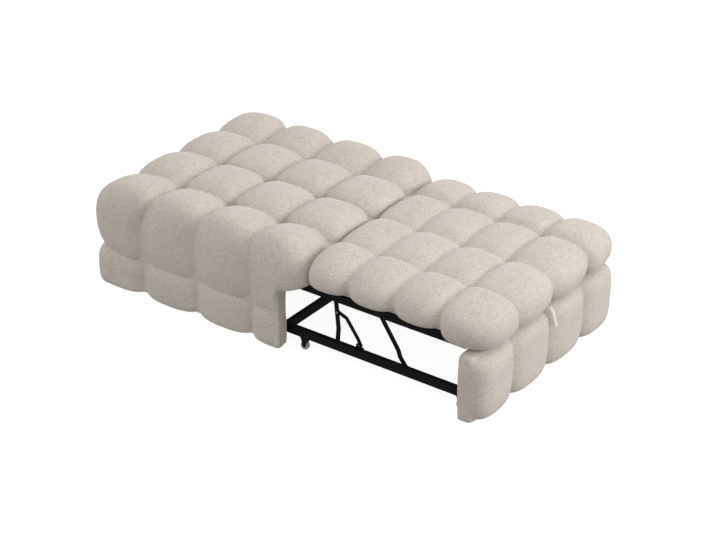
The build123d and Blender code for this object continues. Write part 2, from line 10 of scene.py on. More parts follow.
import bmesh
import bpy
import numpy as np
from bpy.props import FloatProperty, FloatVectorProperty, PointerProperty
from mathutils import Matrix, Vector


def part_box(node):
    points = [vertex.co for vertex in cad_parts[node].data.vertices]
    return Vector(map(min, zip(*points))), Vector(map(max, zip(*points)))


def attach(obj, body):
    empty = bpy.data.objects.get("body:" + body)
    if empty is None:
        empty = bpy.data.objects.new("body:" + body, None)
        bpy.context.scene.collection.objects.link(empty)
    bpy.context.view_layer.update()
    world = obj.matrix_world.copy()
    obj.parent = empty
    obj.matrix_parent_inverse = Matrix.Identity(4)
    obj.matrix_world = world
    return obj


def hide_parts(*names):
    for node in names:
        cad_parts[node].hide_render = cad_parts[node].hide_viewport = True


bl_info = {
    "name": "Fold out ottoman guest bed",
    "version": (1, 0, 0),
    "blender": (4, 5, 0),
    "location": "3D View > Sidebar > Guest Bed",
    "description": "Builds the quilted covers, finishes and studio of a fold out ottoman bed",
    "category": "Object",
}

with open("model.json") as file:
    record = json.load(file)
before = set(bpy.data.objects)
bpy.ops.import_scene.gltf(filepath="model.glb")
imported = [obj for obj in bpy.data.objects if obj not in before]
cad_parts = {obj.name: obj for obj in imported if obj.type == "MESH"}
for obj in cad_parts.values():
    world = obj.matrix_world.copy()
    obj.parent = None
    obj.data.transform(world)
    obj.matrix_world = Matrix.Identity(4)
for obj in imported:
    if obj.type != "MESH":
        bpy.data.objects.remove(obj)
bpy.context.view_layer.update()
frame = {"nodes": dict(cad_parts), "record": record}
NODES = frame["nodes"]
SEAT_LOW, SEAT_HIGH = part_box("large_cushion")
LEAF_LOW, LEAF_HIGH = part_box("small_cushion")
DECK_LOW, DECK_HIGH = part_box("deck")
PANEL_LOW, PANEL_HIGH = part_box("side_panel_near")
HEAD_LOW, HEAD_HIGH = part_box("head_panel")
TIER_LOW, TIER_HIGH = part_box("lower_tier_near")
WRAP_LOW, WRAP_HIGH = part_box("side_wrap_near")
COVER_LOW, COVER_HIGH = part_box("front_cover")
BOARD_LOW, BOARD_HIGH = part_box("front_board")
STRAP_LOW, STRAP_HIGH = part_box("pull_strap")
JOINT_X = SEAT_HIGH.x
FRONT_X = PANEL_HIGH.x
PANEL_OUTER_Y = -PANEL_LOW.y
PANEL_INNER_Y = -PANEL_HIGH.y

SKIN_GAP = 0.0004
FRONT_WRAP = 0.0035
BACKING_HALF = 0.012
EDGE_INSET = 0.004
WALL_INSET = 0.014
BAND_INSET = 0.012
BAND_GRID = 0.006
VALLEY_LEANS = (0.052, 0.026, 0.0)
CREASE_ANGLE = 60.0
BELOW = -0.2


class CoverSizes(bpy.types.PropertyGroup):
    """Sizes of the quilted covers."""

    row_pitch: FloatProperty(
        name="Row pitch", description="Width of one bubble across the bed", default=0.25, unit="LENGTH"
    )
    seat_pitch: FloatProperty(
        name="Seat pitch", description="Length of one bubble of the seat", default=0.2515, unit="LENGTH"
    )
    leaf_pitch: FloatProperty(
        name="Leaf pitch", description="Length of one bubble of the leaf", default=0.2028, unit="LENGTH"
    )
    seat_seam: FloatProperty(
        name="Seat seam height", description="Height of the seat's sewn channels", default=0.4398, unit="LENGTH"
    )
    leaf_seam: FloatProperty(
        name="Leaf seam height", description="Height of the leaf's sewn channels", default=0.4309, unit="LENGTH"
    )
    skin_grid: FloatProperty(
        name="Skin grid", description="Edge length of the fused skin's faces", default=0.0065, unit="LENGTH"
    )


class FabricLook(bpy.types.PropertyGroup):
    """Colours and weave of the cover fabric."""

    light: FloatVectorProperty(
        name="Light yarn",
        description="Colour of the raised yarns",
        subtype="COLOR",
        default=(0.68, 0.62, 0.555),
    )
    shade: FloatVectorProperty(
        name="Shaded yarn", description="Colour between the yarns", subtype="COLOR", default=(0.43, 0.375, 0.32)
    )
    yarn_pitch: FloatProperty(
        name="Yarn pitch", description="Distance between neighbouring yarns", default=0.0032, unit="LENGTH"
    )


class StudioLook(bpy.types.PropertyGroup):
    """Light and floor of the studio."""

    floor: FloatVectorProperty(
        name="Floor", description="Colour of the floor", subtype="COLOR", default=(0.25, 0.25, 0.25)
    )
    glow: FloatProperty(name="Floor glow", description="How much the paper floor shines", default=0.92, min=0.0)
    key_power: FloatProperty(
        name="Key light", description="Power of the large soft light", default=215.0, unit="POWER"
    )
    fill_power: FloatProperty(name="Fill light", description="Power of the fill light", default=25.0, unit="POWER")
    sky: FloatProperty(name="Sky", description="Strength of the white surroundings", default=0.82, min=0.0)


def pick_nothing():
    """Deselect everything."""
    if bpy.context.mode != "OBJECT":
        bpy.ops.object.mode_set(mode="OBJECT")
    bpy.ops.object.select_all(action="DESELECT")


def pick(*pieces):
    """Leave only these objects selected, the first one active."""
    pick_nothing()
    for piece in pieces:
        piece.select_set(True)
    bpy.context.view_layer.objects.active = pieces[0]


def points_of(piece):
    """The vertices of a mesh object as an array."""
    flat = np.zeros(len(piece.data.vertices) * 3)
    piece.data.vertices.foreach_get("co", flat)
    return flat.reshape(-1, 3)


def set_points(piece, points):
    """Write an array of vertices back to a mesh object."""
    piece.data.vertices.foreach_set("co", points.reshape(-1))
    piece.data.update()


def apply_modifier(piece, name):
    """Apply one modifier."""
    pick(piece)
    bpy.ops.object.modifier_apply(modifier=name)


def settle_origin(piece):
    """Put the object's place, turn and scale into its mesh."""
    pick(piece)
    bpy.ops.object.transform_apply(location=True, rotation=True, scale=True)


def copy_of(piece):
    """A copy of an object with a mesh of its own."""
    twin = piece.copy()
    twin.data = piece.data.copy()
    bpy.context.collection.objects.link(twin)
    return twin


def smooth_faces(piece, angle=CREASE_ANGLE):
    """Shade a piece smooth, up to an angle."""
    pick(piece)
    bpy.ops.object.shade_smooth_by_angle(angle=math.radians(angle))


def block(name, low, high):
    """A plain cutter block between two corners."""
    low, high = Vector(low), Vector(high)
    pick_nothing()
    bpy.ops.mesh.primitive_cube_add(size=1.0, location=(low + high) / 2)
    piece = bpy.context.object
    piece.name = name
    piece.scale = high - low
    settle_origin(piece)
    return piece


def ribbon(name, corners, width, thick):
    """A flat strap across Y that follows corners in the XZ plane, with rounded turns."""
    stations, roundings = 70, 16
    corners = np.array(corners)
    reach = np.append(0.0, np.cumsum(np.linalg.norm(np.diff(corners, axis=0), axis=1)))
    places = np.linspace(0.0, reach[-1], stations)
    route = np.column_stack([np.interp(places, reach, corners[:, axis]) for axis in (0, 1)])
    for _ in range(roundings):
        route[1:-1] = (route[:-2] + 2 * route[1:-1] + route[2:]) / 4
    along = np.gradient(route, axis=0)
    along /= np.linalg.norm(along, axis=1)[:, None]
    section = [(-0.5, -0.2), (-0.47, -0.5), (0.47, -0.5), (0.5, -0.2)]
    section += [(-across, -out) for across, out in section]
    grid = bmesh.new()
    rings = []
    for (x, z), (run, rise) in zip(route, along):
        ring = []
        for across, out in section:
            ring.append(grid.verts.new((x + rise * thick * out, width * across, z - run * thick * out)))
        rings.append(ring)
    count = len(section)
    for ring, following in zip(rings, rings[1:]):
        for k in range(count):
            m = (k + 1) % count
            grid.faces.new((ring[k], ring[m], following[m], following[k]))
    for ring in (rings[0], rings[-1]):
        grid.faces.new(ring)
    bmesh.ops.recalc_face_normals(grid, faces=grid.faces)
    mesh = bpy.data.meshes.new(name)
    grid.to_mesh(mesh)
    grid.free()
    strap = bpy.data.objects.new(name, mesh)
    bpy.context.collection.objects.link(strap)
    return strap


def carve(piece, cutter):
    """Cut another object's shape out of a piece and throw that object away."""
    cut = piece.modifiers.new("carve", "BOOLEAN")
    cut.operation = "DIFFERENCE"
    cut.solver = "EXACT"
    cut.object = cutter
    apply_modifier(piece, "carve")
    bpy.data.objects.remove(cutter)


def trim(piece, point, normal):
    """Slice a closed piece on a plane, drop what lies on the normal's side and close the cut."""
    pick(piece)
    bpy.ops.object.mode_set(mode="EDIT")
    bpy.ops.mesh.select_all(action="SELECT")
    bpy.ops.mesh.bisect(plane_co=point, plane_no=normal, use_fill=True, clear_outer=True)
    bpy.ops.object.mode_set(mode="OBJECT")


def unit_bubble(cuts=27):
    """A cube primitive, subdivided in edit mode, that every bubble is copied from."""
    pick_nothing()
    bpy.ops.mesh.primitive_cube_add(size=2.0)
    ball = bpy.context.object
    ball.name = "unit_bubble"
    bpy.ops.object.mode_set(mode="EDIT")
    bpy.ops.mesh.select_all(action="SELECT")
    bpy.ops.mesh.subdivide(number_cuts=cuts)
    bpy.ops.object.mode_set(mode="OBJECT")
    return ball


def bubble(ball, centre, low, high, square, swell, pinch=(0.0, 0.0), pinched=(True, True)):
    """One stuffed bubble, copied from the unit bubble.

    low and high are its half sizes towards the low and high ends of each axis, square says how
    square it is seen from above, and swell how full its lower and upper halves are. pinch
    narrows it along X towards its low and its high Y side, at the pinched X ends.
    """
    piece = copy_of(ball)
    points = points_of(piece)
    fullness = np.where(points[:, 2] < 0, swell[0], swell[1])
    plan = (np.abs(points[:, 0]) ** square + np.abs(points[:, 1]) ** square) ** (fullness / square)
    reach = (plan + np.abs(points[:, 2]) ** fullness) ** (1 / fullness)
    points /= reach[:, None]
    aside = np.where(points[:, 1] < 0, pinch[0], pinch[1]) * points[:, 1] ** 2
    aside *= np.where(points[:, 0] < 0, *pinched)
    points[:, 0] *= 1 - aside
    points *= np.where(points < 0, np.array(low), np.array(high))
    set_points(piece, points + np.array(centre))
    return piece


def pad(ball, centre, half, square, swell):
    """A bubble with the same half sizes both ways, used as a filler behind the seams."""
    return bubble(ball, centre, half, half, square, swell)


def fuse(pieces, name, grid):
    """Join overlapping bubbles and wrap them in one closed skin that lies on their surface."""
    pick(*pieces)
    bpy.ops.object.join()
    inside = bpy.context.object
    inside.name = name + "_stuffing"
    piece = copy_of(inside)
    piece.name = name
    skin = piece.modifiers.new("skin", "REMESH")
    skin.mode = "VOXEL"
    skin.voxel_size = grid
    skin.adaptivity = 0.0
    apply_modifier(piece, "skin")
    for step in ("settle", "settle_again"):
        relax(piece, 2)
        settle = piece.modifiers.new(step, "SHRINKWRAP")
        settle.wrap_method = "NEAREST_SURFACEPOINT"
        settle.wrap_mode = "OUTSIDE_SURFACE"
        settle.target = inside
        settle.offset = 0.0
        apply_modifier(piece, step)
    bpy.data.objects.remove(inside)
    relax(piece, 1)
    return piece


def relax(piece, times):
    """Ease the skin's stair steps and round its seams a little."""
    ease = piece.modifiers.new("ease", "SMOOTH")
    ease.factor = 0.5
    ease.iterations = times
    apply_modifier(piece, "ease")


def spread(reach, rho, swell):
    """Half size of a bubble whose surface passes a seam at this distance and share of height."""
    return reach / (1 - rho**swell) ** (1 / swell)


def quilt(ball, columns, rows, seam, crown, inner_floor):
    """The bubbles of one cushion.

    columns and rows list each cell as (low, high, low_outer, high_outer). Outer sides roll down
    freely, and all other sides meet a neighbour at the seam. crown holds the heights, rolls and
    fullness of the bubbles: outer ones have a free side, and foot ones hang over the foot end.
    """
    pieces = []
    for column in columns:
        for row in rows:
            outer = column[2] or column[3] or row[2] or row[3]
            middle = crown["outer_middle"] if outer else crown["inner_middle"]
            swell = (crown["low_swell"], crown["swell"])
            rise = crown["top"] - middle
            rho = (seam - middle) / rise
            centre, low, high = [], [], []
            ends = [rho, rho]
            if column[1] == JOINT_X:
                ends[1] = crown["joint_rho"]
            past_joint = JOINT_X + 0.01
            if column[0] < past_joint < column[1]:
                ends[0] = crown["joint_rho"]
            for cell, roll, dips in ((column, crown["roll_x"], ends), (row, crown["roll_y"], (rho, rho))):
                if cell[2]:
                    place = cell[0] + roll
                elif cell[3]:
                    place = cell[1] - roll
                else:
                    place = (cell[0] + cell[1]) / 2
                centre.append(place)
                low.append(roll if cell[2] else spread(place - cell[0], dips[0], swell[1]))
                high.append(roll if cell[3] else spread(cell[1] - place, dips[1], swell[1]))
            centre.append(middle)
            floor = crown["outer_floor"] if outer else inner_floor
            if column[3]:
                floor = crown["foot_floor"]
                swell = (crown["foot_swell"], crown["swell"])
            low.append(middle - floor)
            high.append(rise)
            square = crown["outer_square"] if outer else crown["inner_square"]
            pinch = [crown["pinch"] if row[2] else 0.0, crown["pinch"] if row[3] else 0.0]
            pinched = (not column[2], not column[3])
            pieces.append(bubble(ball, centre, low, high, square, swell, pinch, pinched))
    return pieces


def ease_step(value):
    """A smooth step from 0 to 1."""
    share = np.clip(value, 0.0, 1.0)
    return share * share * (3 - 2 * share)


def lift_underside(piece, turn_z, floor_z, rest, full):
    """Squeeze what hangs below turn_z into a shallow rounded belly.

    The squeeze grows from none at rest to all of it at full along X, and the belly rises from
    the first to the second height of floor_z towards the joint.
    """
    points = points_of(piece)
    lowest = points[:, 2].min()
    ahead = ease_step((points[:, 0] - rest) / (full - rest))
    climb = np.clip((points[:, 0] - full) / (JOINT_X - full), 0.0, 1.0)
    floor = floor_z[0] + (floor_z[1] - floor_z[0]) * climb**1.5
    depth = turn_z - lowest
    room = turn_z - floor
    share = np.clip((turn_z - points[:, 2]) / depth, 0.0, 1.0)
    squeezed = turn_z - room * (1 - (1 - share) ** (depth / room))
    lifted = np.where(points[:, 2] < turn_z, squeezed, points[:, 2])
    points[:, 2] += (lifted - points[:, 2]) * ahead
    set_points(piece, points)


def slant_valleys(piece, cuts):
    """Lean the sewn channels of the sides towards the head as they go down."""
    straight_z, lean_height = 0.46, 0.16
    points = points_of(piece)
    down = ease_step((straight_z - points[:, 2]) / lean_height)
    lean = np.interp(points[:, 0], cuts[:4], (0.0, *VALLEY_LEANS))
    points[:, 0] -= lean * down
    set_points(piece, points)


def socket(node, name, value):
    """Set one input of a node."""
    node.inputs[name].default_value = value
    return node


def new_material(name):
    """A node material with only its output and shader, and its tree and shader."""
    material = bpy.data.materials.new(name)
    material.use_nodes = True
    tree = material.node_tree
    tree.nodes.clear()
    out = tree.nodes.new("ShaderNodeOutputMaterial")
    shader = tree.nodes.new("ShaderNodeBsdfPrincipled")
    tree.links.new(shader.outputs["BSDF"], out.inputs["Surface"])
    return material, tree, shader


def object_place(tree, scale=(1.0, 1.0, 1.0)):
    """Object coordinates, stretched by a Mapping node."""
    place = tree.nodes.new("ShaderNodeTexCoord")
    mapping = tree.nodes.new("ShaderNodeMapping")
    mapping.inputs["Scale"].default_value = scale
    tree.links.new(place.outputs["Object"], mapping.inputs["Vector"])
    return mapping.outputs["Vector"]


def noise(tree, vector, scale, detail=3.0, rough=0.5):
    """A noise texture's factor."""
    node = tree.nodes.new("ShaderNodeTexNoise")
    socket(node, "Scale", scale)
    socket(node, "Detail", detail)
    socket(node, "Roughness", rough)
    tree.links.new(vector, node.inputs["Vector"])
    return node.outputs["Fac"]


def math_node(tree, operation, first, second, clamp=False):
    """A Math node on two values or links."""
    node = tree.nodes.new("ShaderNodeMath")
    node.operation = operation
    node.use_clamp = clamp
    for place, value in enumerate((first, second)):
        if isinstance(value, (int, float)):
            node.inputs[place].default_value = value
        else:
            tree.links.new(value, node.inputs[place])
    return node.outputs[0]


def weighed(tree, *terms):
    """The sum of values, each times its weight."""
    total = None
    for value, weight in terms:
        share = math_node(tree, "MULTIPLY", value, weight)
        total = share if total is None else math_node(tree, "ADD", total, share)
    return total


def roughness(tree, shader, value, weight, base):
    """Let the roughness follow a value, around a base."""
    share = math_node(tree, "MULTIPLY", value, weight)
    tree.links.new(math_node(tree, "ADD", share, base, True), shader.inputs["Roughness"])


def between(first, second):
    """The colour half way between two."""
    return tuple((a + b) / 2 for a, b in zip(first, second))


def ramp(tree, factor, stops):
    """A colour ramp with (place, colour) stops."""
    node = tree.nodes.new("ShaderNodeValToRGB")
    elements = node.color_ramp.elements
    while len(elements) < len(stops):
        elements.new(0.5)
    for element, (place, colour) in zip(elements, stops):
        element.position = place
        element.color = (*colour, 1.0)
    tree.links.new(factor, node.inputs["Fac"])
    return node.outputs["Color"]


def bump(tree, shader, height, strength, distance):
    """Raise the surface by a height."""
    node = tree.nodes.new("ShaderNodeBump")
    socket(node, "Strength", strength)
    socket(node, "Distance", distance)
    tree.links.new(height, node.inputs["Height"])
    tree.links.new(node.outputs["Normal"], shader.inputs["Normal"])


def wave(tree, vector, axis, pitch, distortion, detail_scale):
    """Parallel yarns across one axis."""
    node = tree.nodes.new("ShaderNodeTexWave")
    node.wave_type = "BANDS"
    node.bands_direction = axis
    node.wave_profile = "SIN"
    socket(node, "Scale", 0.314 / pitch)
    socket(node, "Distortion", distortion)
    socket(node, "Detail", 2.0)
    socket(node, "Detail Scale", detail_scale)
    tree.links.new(vector, node.inputs["Vector"])
    return node.outputs["Fac"]


def fabric_material():
    """Nubby woven upholstery: crossing yarns, slubs, soft tone changes and a light sheen."""
    look = bpy.context.scene.bed_fabric
    material, tree, shader = new_material("cover_weave")
    place = object_place(tree)
    grain = 1.0 / look.yarn_pitch
    warp = noise(tree, object_place(tree, (0.3, 1.0, 1.0)), grain, 2.0, 0.55)
    weft = noise(tree, object_place(tree, (1.0, 0.3, 1.0)), grain, 2.0, 0.55)
    rise = noise(tree, object_place(tree, (1.0, 1.0, 0.3)), grain, 2.0, 0.55)
    weave = math_node(tree, "MAXIMUM", math_node(tree, "MAXIMUM", warp, weft), rise)
    slubs = noise(tree, object_place(tree, (1.0, 1.0, 2.2)), grain * 0.5, 3.0, 0.6)
    clumps = noise(tree, object_place(tree, (0.7, 0.7, 1.3)), grain * 0.2, 2.0, 0.55)
    cloud = noise(tree, place, 7.0, 2.0, 0.5)
    yarn = weighed(tree, (weave, 0.50), (slubs, 0.40), (clumps, 0.10))
    tone = weighed(tree, (yarn, 0.93), (cloud, 0.07))
    light, shade = tuple(look.light), tuple(look.shade)
    colour = ramp(tree, tone, [(0.40, shade), (0.52, between(light, shade)), (0.62, light)])
    tree.links.new(colour, shader.inputs["Base Color"])
    roughness(tree, shader, yarn, -0.12, 0.98)
    socket(shader, "Specular IOR Level", 0.18)
    socket(shader, "Sheen Weight", 0.35)
    socket(shader, "Sheen Roughness", 0.5)
    socket(shader, "Sheen Tint", (1.0, 0.97, 0.93, 1.0))
    bump(tree, shader, yarn, 0.7, 0.0022)
    return material


def tape_material():
    """Woven webbing of the pull strap, with fine crossing ribs."""
    material, tree, shader = new_material("strap_weave")
    place = object_place(tree)
    rib = wave(tree, place, "Y", 0.0012, 0.6, 2.0)
    cross = wave(tree, place, "Z", 0.0016, 0.8, 2.0)
    weave = math_node(tree, "MULTIPLY", math_node(tree, "ADD", rib, cross), 0.5)
    colour = ramp(tree, weave, [(0.2, (0.62, 0.56, 0.47)), (0.8, (0.80, 0.75, 0.67))])
    tree.links.new(colour, shader.inputs["Base Color"])
    roughness(tree, shader, weave, -0.15, 0.9)
    socket(shader, "Sheen Weight", 0.2)
    bump(tree, shader, weave, 0.5, 0.0006)
    return material


def painted_steel_material(name, colour, edge, base_rough):
    """Satin powder coat: fine orange peel, faint dust and lighter rubbed patches."""
    material, tree, shader = new_material(name)
    place = object_place(tree)
    peel = noise(tree, place, 900.0, 2.0, 0.5)
    dust = noise(tree, place, 22.0, 4.0, 0.6)
    tone = ramp(tree, dust, [(0.35, colour), (0.75, edge)])
    tree.links.new(tone, shader.inputs["Base Color"])
    roughness(tree, shader, dust, 0.2, base_rough)
    socket(shader, "Specular IOR Level", 0.22)
    bump(tree, shader, peel, 0.12, 0.0004)
    return material


def metal_material():
    """Zinc plated pins, finely turned."""
    material, tree, shader = new_material("zinc_plate")
    place = object_place(tree)
    turn = wave(tree, place, "Y", 0.0009, 1.2, 3.0)
    stain = noise(tree, place, 160.0, 3.0, 0.6)
    tone = ramp(tree, stain, [(0.3, (0.42, 0.42, 0.42)), (0.7, (0.62, 0.62, 0.61))])
    tree.links.new(tone, shader.inputs["Base Color"])
    roughness(tree, shader, stain, 0.2, 0.25)
    socket(shader, "Metallic", 1.0)
    bump(tree, shader, turn, 0.15, 0.0002)
    return material


def wood_material(name, dark, light, grain_scale, ply=False):
    """Sawn timber: long grain along X with pores, a little shorter and wider in plywood."""
    material, tree, shader = new_material(name)
    stretch = (1.4, 9.0, 14.0) if ply else (1.0, 14.0, 14.0)
    grain = noise(tree, object_place(tree, stretch), grain_scale, 5.0, 0.62)
    pores = noise(tree, object_place(tree, (6.0, 90.0, 90.0)), 14.0, 2.0, 0.5)
    tone = weighed(tree, (grain, 0.75), (pores, 0.25))
    colour = ramp(tree, tone, [(0.32, dark), (0.52, between(dark, light)), (0.7, light)])
    tree.links.new(colour, shader.inputs["Base Color"])
    roughness(tree, shader, pores, 0.25, 0.5)
    bump(tree, shader, tone, 0.25, 0.0008)
    return material


def plastic_material(name, dark, light, base_rough):
    """Moulded plastic: fine spark texture with faint scuffs."""
    material, tree, shader = new_material(name)
    place = object_place(tree)
    spark = noise(tree, place, 1400.0, 2.0, 0.5)
    scuff = noise(tree, place, 60.0, 3.0, 0.6)
    colour = ramp(tree, scuff, [(0.35, dark), (0.7, light)])
    tree.links.new(colour, shader.inputs["Base Color"])
    roughness(tree, shader, scuff, 0.25, base_rough)
    bump(tree, shader, spark, 0.2, 0.0003)
    return material


def finish(piece, material):
    """Give a piece one material."""
    piece.data.materials.clear()
    piece.data.materials.append(material)


def cover_weave():
    """The cover fabric, made when it is first needed."""
    return bpy.data.materials.get("cover_weave") or fabric_material()


def cover_rows(pitch):
    """The four rows across the bed, the two side ones rolling down outside."""
    edge = SEAT_HIGH.y
    return [
        (-edge, -pitch, True, False),
        (-pitch, 0.0, False, False),
        (0.0, pitch, False, False),
        (pitch, edge, False, True),
    ]


class BED_OT_seat_cover(bpy.types.Operator):
    """Build the seat's quilted cover, from its crowns down to the seam above the base band"""

    bl_idname = "bed.seat_cover"
    bl_label = "Seat cover"

    def execute(self, context):
        sizes = context.scene.bed_cover
        pitch = sizes.seat_pitch
        cuts = [SEAT_LOW.x, *(JOINT_X - pitch * n for n in (3, 2, 1)), JOINT_X]
        columns = [(cuts[0], cuts[1], True, False)]
        columns += [(low, high, False, False) for low, high in zip(cuts[1:], cuts[2:])]
        crown = {
            "top": SEAT_HIGH.z,
            "outer_middle": 0.3045,
            "inner_middle": 0.3991,
            "roll_x": 0.2229,
            "roll_y": 0.088,
            "outer_floor": 0.12,
            "outer_square": 2.75,
            "inner_square": 3.32,
            "swell": 2.35,
            "low_swell": 2.35,
            "joint_rho": 0.45,
            "pinch": 0.4,
        }
        ball = unit_bubble()
        pieces = quilt(ball, columns, cover_rows(sizes.row_pitch), sizes.seat_seam, crown, 0.22)
        for piece in pieces:
            slant_valleys(piece, cuts)
            if points_of(piece)[:, 0].max() > JOINT_X:
                lift_underside(piece, 0.41, (0.268, 0.296), FRONT_X - 0.012, FRONT_X + 0.008)
        slab_x = (HEAD_LOW.x, JOINT_X + 0.02)
        slab = ((slab_x[0] + slab_x[1]) / 2, 0.0, 0.345)
        pieces.append(pad(ball, slab, ((slab_x[1] - slab_x[0]) / 2, PANEL_OUTER_Y, 0.06), 14.0, (8.0, 8.0)))
        edge = SEAT_HIGH.y - WALL_INSET
        backing_z = 0.245
        backing_half_z = 0.09
        for side in (-1, 1):
            wall = (FRONT_X + FRONT_WRAP - 0.06, side * (PANEL_INNER_Y + edge) / 2, 0.250)
            pieces.append(pad(ball, wall, (0.06, (edge - PANEL_INNER_Y) / 2, 0.075), 12.0, (16.0, 9.0)))
            lining_x = DECK_HIGH.x + FRONT_WRAP
            lining_y = PANEL_OUTER_Y + FRONT_WRAP
            half = ((lining_x - FRONT_X) / 2 + 0.03, (lining_y - PANEL_INNER_Y) / 2 + 0.004, 0.015)
            lining = (lining_x - half[0], side * (lining_y - half[1]), 0.3115)
            pieces.append(pad(ball, lining, half, 9.0, (7.0, 9.0)))
            half = ((FRONT_X - HEAD_LOW.x) / 2 - 0.003, BACKING_HALF, backing_half_z)
            backing = ((FRONT_X + HEAD_LOW.x) / 2, side * PANEL_OUTER_Y, backing_z)
            pieces.append(pad(ball, backing, half, 12.0, (12.0, 12.0)))
        half = (BACKING_HALF, PANEL_OUTER_Y, backing_half_z)
        pieces.append(pad(ball, (HEAD_LOW.x, 0.0, backing_z), half, 12.0, (12.0, 12.0)))
        bpy.data.objects.remove(ball)
        cover = fuse(pieces, "seat_cover", sizes.skin_grid)
        side_y = PANEL_OUTER_Y + SKIN_GAP
        low_x = HEAD_LOW.x - SKIN_GAP
        back_x = FRONT_X - 0.1
        deck_low_z = DECK_LOW.z - SKIN_GAP
        deck_high = (DECK_HIGH.x + SKIN_GAP, side_y, DECK_HIGH.z + SKIN_GAP)
        carve(cover, block("carcass", (low_x, -side_y, BELOW), (FRONT_X + SKIN_GAP, side_y, deck_high[2])))
        carve(cover, block("deck_edge", (back_x, -side_y, deck_low_z), deck_high))
        mouth_high = (0.6, PANEL_INNER_Y, DECK_LOW.z + 0.001)
        carve(cover, block("mouth", (back_x, -PANEL_INNER_Y, BELOW), mouth_high))
        trim(cover, (0.0, 0.0, WRAP_LOW.z - 0.016), (0.0, 0.0, -1.0))
        trim(cover, (JOINT_X - 0.0003, 0.0, 0.0), (1.0, 0.0, 0.0))
        smooth_faces(cover)
        finish(cover, cover_weave())
        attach(cover, "base")
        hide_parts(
            "large_cushion",
            "side_wrap_near",
            "side_wrap_far",
            "side_wrap_head",
            "overhang_wrap_near",
            "overhang_wrap_far",
        )
        return {"FINISHED"}


class BED_OT_leaf_cover(bpy.types.Operator):
    """Build the quilted cushion that lies on the slats"""

    bl_idname = "bed.leaf_cover"
    bl_label = "Leaf cover"

    def execute(self, context):
        sizes = context.scene.bed_cover
        pitch = sizes.leaf_pitch
        cuts = [LEAF_LOW.x, *(JOINT_X + pitch * n for n in (1, 2, 3)), LEAF_HIGH.x]
        columns = [(low, high, False, False) for low, high in zip(cuts[:3], cuts[1:4])]
        columns.append((cuts[3], cuts[4], False, True))
        crown = {
            "top": LEAF_HIGH.z,
            "outer_middle": 0.3623,
            "inner_middle": 0.374,
            "roll_x": 0.1593,
            "roll_y": 0.1816,
            "outer_floor": 0.3025,
            "outer_square": 2.75,
            "inner_square": 3.32,
            "swell": 2.35,
            "low_swell": 2.1,
            "joint_rho": 0.45,
            "pinch": 0.12,
            "foot_floor": 0.268,
            "foot_swell": 2.2,
        }
        ball = unit_bubble()
        pieces = quilt(ball, columns, cover_rows(sizes.row_pitch), sizes.leaf_seam, crown, 0.25)
        slab_x = (LEAF_LOW.x - 0.02, LEAF_HIGH.x - 0.09)
        slab = ((slab_x[0] + slab_x[1]) / 2, 0.0, 0.335)
        half = ((slab_x[1] - slab_x[0]) / 2, LEAF_HIGH.y - 0.075, 0.035)
        pieces.append(pad(ball, slab, half, 14.0, (8.0, 8.0)))
        bpy.data.objects.remove(ball)
        cover = fuse(pieces, "leaf_cover", sizes.skin_grid)
        carve(cover, block("slats_below", (-0.2, -0.6, 0.0), (BOARD_LOW.x - 0.01, 0.6, LEAF_LOW.z)))
        trim(cover, (LEAF_LOW.x, 0.0, 0.0), (-1.0, 0.0, 0.0))
        press = copy_of(bpy.data.objects["board_cover"])
        swollen = press.modifiers.new("swollen", "DISPLACE")
        swollen.mid_level = 0.0
        swollen.strength = 0.0012
        apply_modifier(press, "swollen")
        carve(cover, press)
        smooth_faces(cover)
        finish(cover, cover_weave())
        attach(cover, "leaf")
        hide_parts("small_cushion")
        return {"FINISHED"}


class BED_OT_front_cover(bpy.types.Operator):
    """Build the four upright bubbles on the board that rolls out"""

    bl_idname = "bed.front_cover"
    bl_label = "Front cover"

    def execute(self, context):
        pitch = context.scene.bed_cover.row_pitch
        edge = COVER_HIGH.y
        rows = [(-edge, -pitch), (-pitch, 0.0), (0.0, pitch), (pitch, edge)]
        ball = unit_bubble()
        back, tip = COVER_LOW.x, COVER_HIGH.x
        top = COVER_HIGH.z - 0.004
        low_z = COVER_LOW.z - 0.001
        middle = 0.165
        seam_share = 0.86
        pieces = []
        for index, (low, high) in enumerate(rows):
            half = (high - low) / 2
            seam = half / seam_share
            sides = [half if index == 0 else seam, half if index == 3 else seam]
            centre = (back, (low + high) / 2, middle)
            low_half = (0.05, sides[0], middle - low_z)
            high_half = (tip - back, sides[1], top - middle)
            pieces.append(bubble(ball, centre, low_half, high_half, 3.0, (4.2, 5.0)))
        for side in (-1, 1):
            half = (0.05, 0.06, (top - low_z) / 2)
            end = (back + 0.01, side * (edge - EDGE_INSET - half[1]), (top + low_z) / 2)
            pieces.append(pad(ball, end, half, 5.0, (9.0, 12.0)))
        bpy.data.objects.remove(ball)
        cover = fuse(pieces, "board_cover", BAND_GRID)
        trim(cover, (back + 0.0002, 0.0, 0.0), (-1.0, 0.0, 0.0))
        gap = 0.0003
        pocket_low = (BOARD_LOW.x - 0.01, BOARD_LOW.y - gap, BOARD_LOW.z - gap)
        pocket_high = (BOARD_HIGH.x + gap, BOARD_HIGH.y + gap, top - 0.008)
        carve(cover, block("board_pocket", pocket_low, pocket_high))
        smooth_faces(cover)
        finish(cover, cover_weave())
        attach(cover, "trundle")
        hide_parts("front_cover")
        return {"FINISHED"}


